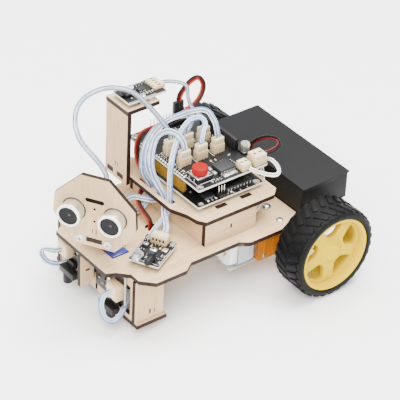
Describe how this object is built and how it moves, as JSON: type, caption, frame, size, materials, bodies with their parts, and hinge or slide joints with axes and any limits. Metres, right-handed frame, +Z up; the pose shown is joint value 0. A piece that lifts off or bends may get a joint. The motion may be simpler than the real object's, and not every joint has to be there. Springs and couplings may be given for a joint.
{
  "type": "two wheel robot car",
  "caption": "Small robot car kit: laser-cut plywood decks on two geared wheels and a ball caster, with a turning sonar head, line and obstacle sensors, controller boards and a battery box.",
  "frame": {"origin": "on the ground under the middle of the car's bounding box, leads left out", "axes": "+Z up, -Y forwards (the sonar head), +X the car's left side, along the wheel axle"},
  "size_m": [0.161, 0.1977, 0.1401],
  "materials": {
    "birch_ply": "laser-cut, dark burnt edges, unvarnished",
    "circuit_board": "black solder mask, satin",
    "blue_plastic": "clear tinted, glossy",
    "white_plastic": "moulded, satin",
    "orange_plastic": "moulded, satin",
    "bare_steel": "drawn, satin",
    "polished_steel": "polished",
    "brass": "turned",
    "tyre_rubber": "matt",
    "yellow_plastic": "moulded, satin",
    "black_plastic": "moulded, satin",
    "grey_box_plastic": "fine moulded grain",
    "cell_wrap": "shrink wrap",
    "red_plastic": "moulded, glossy",
    "clear_ribbon": "bundled thin wires, glossy",
    "red_wire": "insulated wire",
    "orange_wire": "insulated wire",
    "white_wire": "insulated wire"
  },
  "bodies": {
    "chassis": {"lower_deck": "birch_ply", "upper_deck": "birch_ply", "side_panel_left": "birch_ply", "side_panel_right": "birch_ply", "inner_rib_left": "birch_ply", "inner_rib_right": "birch_ply", "front_cross_panel": "birch_ply", "mast": "birch_ply", "mast_shelf": "birch_ply", "nose_post": "birch_ply", "pod_front_left": "birch_ply", "pod_front_right": "birch_ply", "pod_side_left": "birch_ply", "pod_side_right": "birch_ply", "pod_base_left": "birch_ply", "pod_base_right": "birch_ply", "mast_sensor": "circuit_board", "line_sensor_left": "circuit_board", "line_sensor_right": "circuit_board", "obstacle_sensor_left": "circuit_board", "obstacle_sensor_right": "circuit_board", "controller_board": "circuit_board", "shield_board": "circuit_board", "servo_body": "blue_plastic", "gearbox_left": "orange_plastic", "gearbox_right": "orange_plastic", "motor_can_left": "bare_steel", "motor_can_right": "bare_steel", "caster_cup": "black_plastic", "servo_plug": "black_plastic", "battery_box": "grey_box_plastic", "cell_front": "cell_wrap", "cell_rear": "cell_wrap", "sonar_ribbon": "clear_ribbon", "mast_sensor_lead": "clear_ribbon", "obstacle_lead_left": "clear_ribbon", "obstacle_lead_right": "clear_ribbon", "line_lead_left": "clear_ribbon", "line_lead_right": "clear_ribbon", "battery_lead": "red_wire", "servo_lead": "orange_wire", "motor_lead_left": "white_wire"},
    "wheel_left": {"rim_left": "yellow_plastic", "tyre_left": "tyre_rubber", "output_gear_left": "white_plastic"},
    "wheel_right": {"rim_right": "yellow_plastic", "tyre_right": "tyre_rubber", "output_gear_right": "white_plastic"},
    "reduction_left": {"reduction_gear_left": "white_plastic"},
    "reduction_right": {"reduction_gear_right": "white_plastic"},
    "rotor_left": {"motor_pinion_left": "brass"},
    "rotor_right": {"motor_pinion_right": "brass"},
    "head": {"servo_horn": "white_plastic", "head_bracket": "birch_ply", "head_face": "birch_ply", "sonar_sensor": "circuit_board"},
    "caster": {"caster_ball": "polished_steel"},
    "lid": {"battery_lid": "grey_box_plastic"},
    "switch": {"power_switch": "black_plastic"},
    "button": {"button_cap": "red_plastic"}
  },
  "joints": [
    {"name": "left_wheel_spin", "type": "hinge", "parent": "chassis", "child": "wheel_left", "pos_m": [0, 0.0627, 0.0325], "axis": [1, 0, 0], "continuous": true},
    {"name": "left_reduction_spin", "type": "hinge", "parent": "chassis", "child": "reduction_left", "pos_m": [0.0359, 0.0507, 0.0325], "axis": [1, 0, 0], "continuous": true},
    {"name": "left_rotor_spin", "type": "hinge", "parent": "chassis", "child": "rotor_left", "pos_m": [0.0359, 0.0627, 0.0325], "axis": [0, 1, 0], "continuous": true},
    {"name": "right_wheel_spin", "type": "hinge", "parent": "chassis", "child": "wheel_right", "pos_m": [0, 0.0627, 0.0325], "axis": [1, 0, 0], "continuous": true},
    {"name": "right_reduction_spin", "type": "hinge", "parent": "chassis", "child": "reduction_right", "pos_m": [-0.0359, 0.0507, 0.0325], "axis": [1, 0, 0], "continuous": true},
    {"name": "right_rotor_spin", "type": "hinge", "parent": "chassis", "child": "rotor_right", "pos_m": [-0.0359, 0.0627, 0.0325], "axis": [0, 1, 0], "continuous": true},
    {"name": "head_yaw", "type": "hinge", "parent": "chassis", "child": "head", "pos_m": [0, -0.064, 0.055], "axis": [0, 0, 1], "range_deg": [-121, 59]},
    {"name": "caster_roll", "type": "hinge", "parent": "chassis", "child": "caster", "pos_m": [0, -0.0353, 0.0075], "axis": [1, 0, 0], "continuous": true},
    {"name": "lid_slide", "type": "slide", "parent": "chassis", "child": "lid", "axis": [1, 0, 0], "range_m": [0, 0.09]},
    {"name": "switch_slide", "type": "slide", "parent": "chassis", "child": "switch", "axis": [1, 0, 0], "range_m": [0, 0.0036]},
    {"name": "button_press", "type": "slide", "parent": "chassis", "child": "button", "axis": [0, 0, -1], "range_m": [0, 0.0004], "stiffness_N_per_m": 600, "springref_m": -0.0003}
  ],
  "couplings": [
    {"joint": "left_reduction_spin", "follows": "left_wheel_spin", "ratio": -2.2},
    {"joint": "left_rotor_spin", "follows": "left_wheel_spin", "ratio": 5.8667},
    {"joint": "right_reduction_spin", "follows": "right_wheel_spin", "ratio": -2.2},
    {"joint": "right_rotor_spin", "follows": "right_wheel_spin", "ratio": -5.8667}
  ]
}
